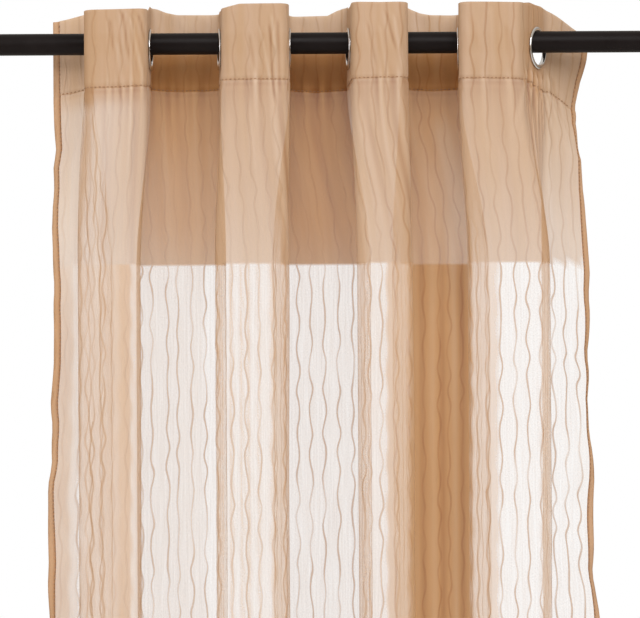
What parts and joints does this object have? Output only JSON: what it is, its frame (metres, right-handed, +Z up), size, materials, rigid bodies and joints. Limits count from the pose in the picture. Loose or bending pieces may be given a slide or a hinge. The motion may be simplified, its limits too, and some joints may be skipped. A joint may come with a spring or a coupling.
{
  "type": "sheer voile curtain with eyelet heading on a plain round curtain rod",
  "caption": "Sheer tan voile curtain panel with a wavy vertical yarn stripe, hanging in deep folds by chrome eyelets on a plain black round rod.",
  "frame": {"origin": "middle of the rod's axis, where the rod's brackets would hold it", "axes": "+X along the rod to the right as seen from the room, +Y away from the room towards the window, +Z up"},
  "size_m": [0.914, 0.1222, 2.152],
  "materials": {
    "black_metal": "satin black paint",
    "voile": "sheer tan voile with wavy darker yarns",
    "chrome": "bright chrome plate"
  },
  "bodies": {
    "root": {"rod": "black_metal", "heading": "voile", "voile_panel": "voile", "eyelet_1": "chrome", "eyelet_2": "chrome", "eyelet_3": "chrome", "eyelet_4": "chrome", "eyelet_5": "chrome", "eyelet_6": "chrome", "eyelet_7": "chrome", "eyelet_8": "chrome"}
  },
  "joints": []
}
